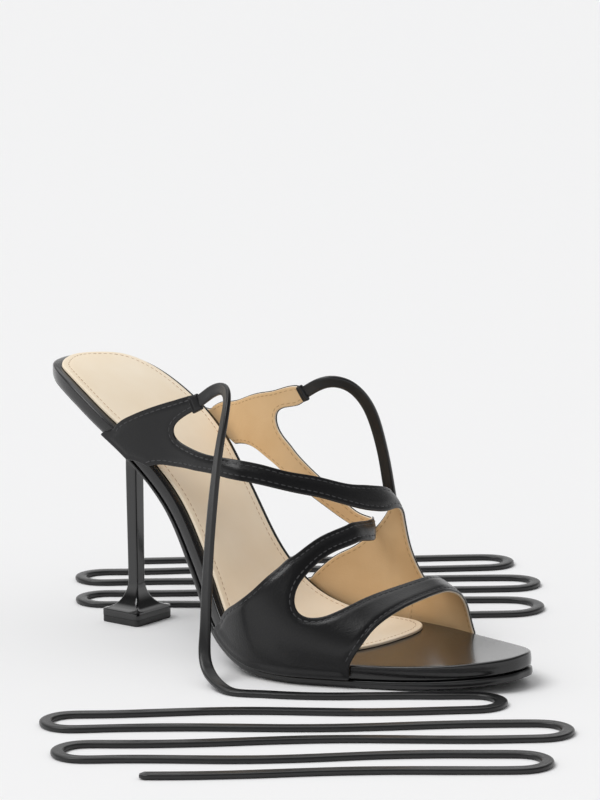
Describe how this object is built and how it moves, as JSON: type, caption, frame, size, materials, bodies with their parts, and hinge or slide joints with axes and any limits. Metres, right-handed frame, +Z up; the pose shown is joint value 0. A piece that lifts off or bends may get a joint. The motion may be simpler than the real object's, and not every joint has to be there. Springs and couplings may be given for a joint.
{
  "type": "lace up heeled sandal",
  "caption": "High heeled open sandal with crossing straps, a toe band, a flared slim heel and two long free ties.",
  "frame": {"origin": "bottom centre of the shoe's own box, on the floor under the arch, the loose ties left out of the box", "axes": "+X towards the toe, +Y towards the medial side (the wearer's left on this right shoe), +Z up"},
  "size_m": [0.3103, 0.3313, 0.1019],
  "materials": {
    "black_leather": "smooth black nappa, fine grain, soft sheen",
    "beige_leather": "smooth pale beige lining leather, matt",
    "black_sole": "black edge-dyed sole, satin",
    "black_gloss": "high gloss black lacquer",
    "black_rubber": "matt black top lift"
  },
  "bodies": {
    "root": {"upper": "black_leather", "insole_board": "black_leather", "insole_sock": "beige_leather", "outsole": "black_sole", "heel": "black_gloss", "heel_tip": "black_rubber", "tie_lateral": "black_leather", "tie_medial": "black_leather"}
  },
  "joints": []
}
